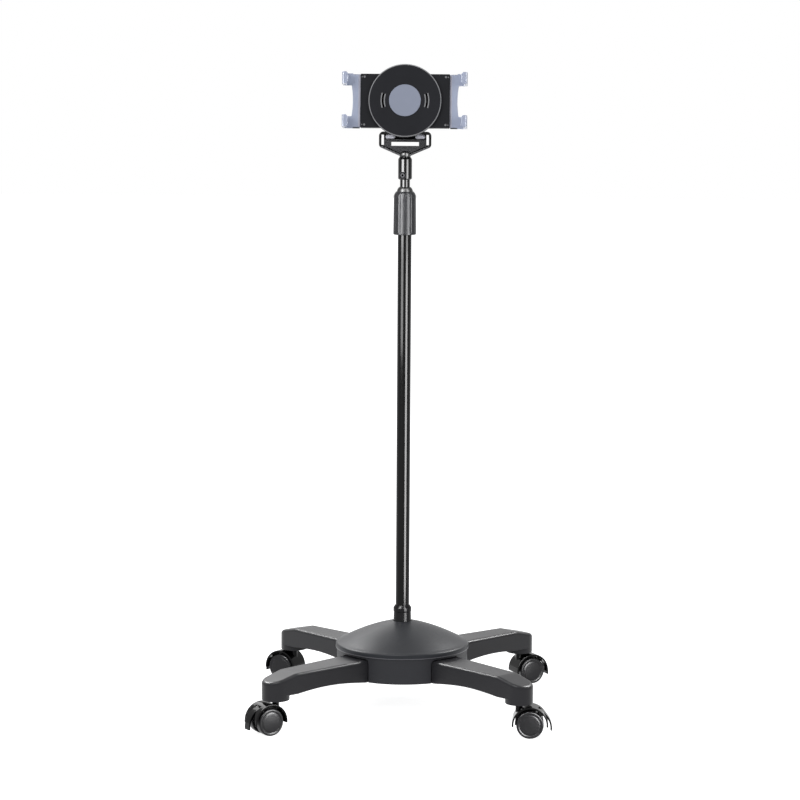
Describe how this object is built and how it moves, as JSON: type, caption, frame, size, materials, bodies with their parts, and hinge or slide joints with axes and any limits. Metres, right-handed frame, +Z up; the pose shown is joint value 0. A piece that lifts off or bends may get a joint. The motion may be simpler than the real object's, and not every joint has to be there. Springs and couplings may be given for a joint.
{
  "type": "tablet floor stand",
  "caption": "Rolling tablet floor stand: legged caster base under a domed hub, telescopic pole with a twist clutch, and a tilting, turning cradle with sliding hook arms.",
  "frame": {"origin": "floor, on the pole's axis", "axes": "+Z up the pole; the holder faces -Y; +X to the viewer's right"},
  "size_m": [0.4827, 0.4579, 1.0436],
  "materials": {
    "hub": "satin moulded black",
    "dome": "satin dark grey",
    "leg": "satin moulded black",
    "collar": "satin black",
    "pole": "gloss black",
    "steel": "plated",
    "bracket": "satin black",
    "core": "moulded black",
    "nylon": "natural nylon",
    "grip": "satin grey",
    "cap": "gloss black",
    "yoke": "satin black",
    "bush": "satin blue-grey",
    "cradle": "satin black",
    "disc": "fine matt black",
    "pad": "matt grey",
    "arm": "satin blue-grey",
    "wheel": "satin dark grey",
    "caster": "moulded black"
  },
  "bodies": {
    "base": {"hub_body": "hub", "hub_cover": "dome", "leg_back_right": "leg", "leg_back_left": "leg", "leg_front_left": "leg", "leg_front_right": "leg", "leg_bolts": "steel", "caster_sockets": "collar", "caster_stems": "steel", "pole_collar": "collar", "pole_tube": "pole", "pole_plug": "steel", "pole_bolt": "steel", "pole_washer": "steel", "clutch_core": "core", "clutch_collet": "nylon"},
    "clutch": {"clutch_grip": "grip", "clutch_cap": "cap"},
    "mast": {"mast_rod": "pole", "rod_bush": "nylon", "coupler": "pole", "coupler_screw": "bracket"},
    "yoke": {"yoke": "yoke", "tilt_axle": "steel", "tilt_bushes": "bush"},
    "tilt": {"tilt_bracket": "bracket", "swivel_rivet": "steel", "swivel_washer": "nylon"},
    "cradle": {"cradle_tray": "cradle", "cradle_front": "cradle", "turntable_disc": "disc", "disc_pad": "pad", "cradle_screws": "steel"},
    "arm_right": {"arm_right": "arm"},
    "arm_left": {"arm_left": "arm"},
    "pinion": {"arm_pinion": "nylon"},
    "caster_br": {"caster_br_housing": "caster", "caster_br_axle": "steel"},
    "caster_br_wheel_a": {"caster_br_wheel_a": "wheel"},
    "caster_br_wheel_b": {"caster_br_wheel_b": "wheel"},
    "caster_br_lever": {"caster_br_lever": "caster"},
    "caster_bl": {"caster_bl_housing": "caster", "caster_bl_axle": "steel"},
    "caster_bl_wheel_a": {"caster_bl_wheel_a": "wheel"},
    "caster_bl_wheel_b": {"caster_bl_wheel_b": "wheel"},
    "caster_bl_lever": {"caster_bl_lever": "caster"},
    "caster_fl": {"caster_fl_housing": "caster", "caster_fl_axle": "steel"},
    "caster_fl_wheel_a": {"caster_fl_wheel_a": "wheel"},
    "caster_fl_wheel_b": {"caster_fl_wheel_b": "wheel"},
    "caster_fl_lever": {"caster_fl_lever": "caster"},
    "caster_fr": {"caster_fr_housing": "caster", "caster_fr_axle": "steel"},
    "caster_fr_wheel_a": {"caster_fr_wheel_a": "wheel"},
    "caster_fr_wheel_b": {"caster_fr_wheel_b": "wheel"},
    "caster_fr_lever": {"caster_fr_lever": "caster"}
  },
  "joints": [
    {"name": "clutch_twist", "type": "hinge", "parent": "base", "child": "clutch", "pos_m": [0, 0, 0.806], "axis": [0, 0, 1], "range_deg": [0, 120]},
    {"name": "mast_slide", "type": "slide", "parent": "base", "child": "mast", "axis": [0, 0, 1], "range_m": [0, 0.42]},
    {"name": "yoke_swivel", "type": "hinge", "parent": "mast", "child": "yoke", "pos_m": [0, 0, 0.89], "axis": [0, 0, 1], "continuous": true},
    {"name": "holder_tilt", "type": "hinge", "parent": "yoke", "child": "tilt", "pos_m": [0, 0, 0.928], "axis": [-1, 0, 0], "range_deg": [-8, 52]},
    {"name": "cradle_turn", "type": "hinge", "parent": "tilt", "child": "cradle", "pos_m": [0, 0.00757, 0.98187], "axis": [0, -0.9903, 0.1392], "continuous": true},
    {"name": "arm_right_slide", "type": "slide", "parent": "cradle", "child": "arm_right", "axis": [1, 0, 0], "range_m": [0, 0.045]},
    {"name": "arm_left_slide", "type": "slide", "parent": "cradle", "child": "arm_left", "axis": [-1, 0, 0], "range_m": [0, 0.045]},
    {"name": "pinion_turn", "type": "hinge", "parent": "cradle", "child": "pinion", "pos_m": [0, -0.01223, 0.98465], "axis": [0, -0.9903, 0.1392], "range_deg": [-290, 0]},
    {"name": "caster_br_swivel", "type": "hinge", "parent": "base", "child": "caster_br", "pos_m": [0.19092, 0.19092, 0.045], "axis": [0, 0, 1], "continuous": true},
    {"name": "caster_br_roll_a", "type": "hinge", "parent": "caster_br", "child": "caster_br_wheel_a", "pos_m": [0.20678, 0.19831, 0.0215], "axis": [-0.4226, 0.9063, 0], "continuous": true},
    {"name": "caster_br_roll_b", "type": "hinge", "parent": "caster_br", "child": "caster_br_wheel_b", "pos_m": [0.20678, 0.19831, 0.0215], "axis": [-0.4226, 0.9063, 0], "continuous": true},
    {"name": "caster_br_brake", "type": "hinge", "parent": "caster_br", "child": "caster_br_lever", "pos_m": [0.21802, 0.20356, 0.0339], "axis": [-0.4226, 0.9063, 0], "range_deg": [0, 10]},
    {"name": "caster_bl_swivel", "type": "hinge", "parent": "base", "child": "caster_bl", "pos_m": [-0.19092, 0.19092, 0.045], "axis": [0, 0, 1], "continuous": true},
    {"name": "caster_bl_roll_a", "type": "hinge", "parent": "caster_bl", "child": "caster_bl_wheel_a", "pos_m": [-0.20637, 0.19913, 0.0215], "axis": [-0.4695, -0.8829, 0], "continuous": true},
    {"name": "caster_bl_roll_b", "type": "hinge", "parent": "caster_bl", "child": "caster_bl_wheel_b", "pos_m": [-0.20637, 0.19913, 0.0215], "axis": [-0.4695, -0.8829, 0], "continuous": true},
    {"name": "caster_bl_brake", "type": "hinge", "parent": "caster_bl", "child": "caster_bl_lever", "pos_m": [-0.21732, 0.20496, 0.0339], "axis": [-0.4695, -0.8829, 0], "range_deg": [0, 10]},
    {"name": "caster_fl_swivel", "type": "hinge", "parent": "base", "child": "caster_fl", "pos_m": [-0.19092, -0.19092, 0.045], "axis": [0, 0, 1], "continuous": true},
    {"name": "caster_fl_roll_a", "type": "hinge", "parent": "caster_fl", "child": "caster_fl_wheel_a", "pos_m": [-0.20525, -0.20096, 0.0215], "axis": [0.5736, -0.8192, 0], "continuous": true},
    {"name": "caster_fl_roll_b", "type": "hinge", "parent": "caster_fl", "child": "caster_fl_wheel_b", "pos_m": [-0.20525, -0.20096, 0.0215], "axis": [0.5736, -0.8192, 0], "continuous": true},
    {"name": "caster_fl_brake", "type": "hinge", "parent": "caster_fl", "child": "caster_fl_lever", "pos_m": [-0.21541, -0.20807, 0.0339], "axis": [0.5736, -0.8192, 0], "range_deg": [0, 10]},
    {"name": "caster_fr_swivel", "type": "hinge", "parent": "base", "child": "caster_fr", "pos_m": [0.19092, -0.19092, 0.045], "axis": [0, 0, 1], "continuous": true},
    {"name": "caster_fr_roll_a", "type": "hinge", "parent": "caster_fr", "child": "caster_fr_wheel_a", "pos_m": [0.20842, -0.19092, 0.0215], "axis": [0, 1, 0], "continuous": true},
    {"name": "caster_fr_roll_b", "type": "hinge", "parent": "caster_fr", "child": "caster_fr_wheel_b", "pos_m": [0.20842, -0.19092, 0.0215], "axis": [0, 1, 0], "continuous": true},
    {"name": "caster_fr_brake", "type": "hinge", "parent": "caster_fr", "child": "caster_fr_lever", "pos_m": [0.22082, -0.19092, 0.0339], "axis": [0, 1, 0], "range_deg": [0, 10]}
  ],
  "couplings": [
    {"joint": "arm_left_slide", "follows": "arm_right_slide", "ratio": 1},
    {"joint": "pinion_turn", "follows": "arm_right_slide", "rad_per_m": -111.11}
  ]
}
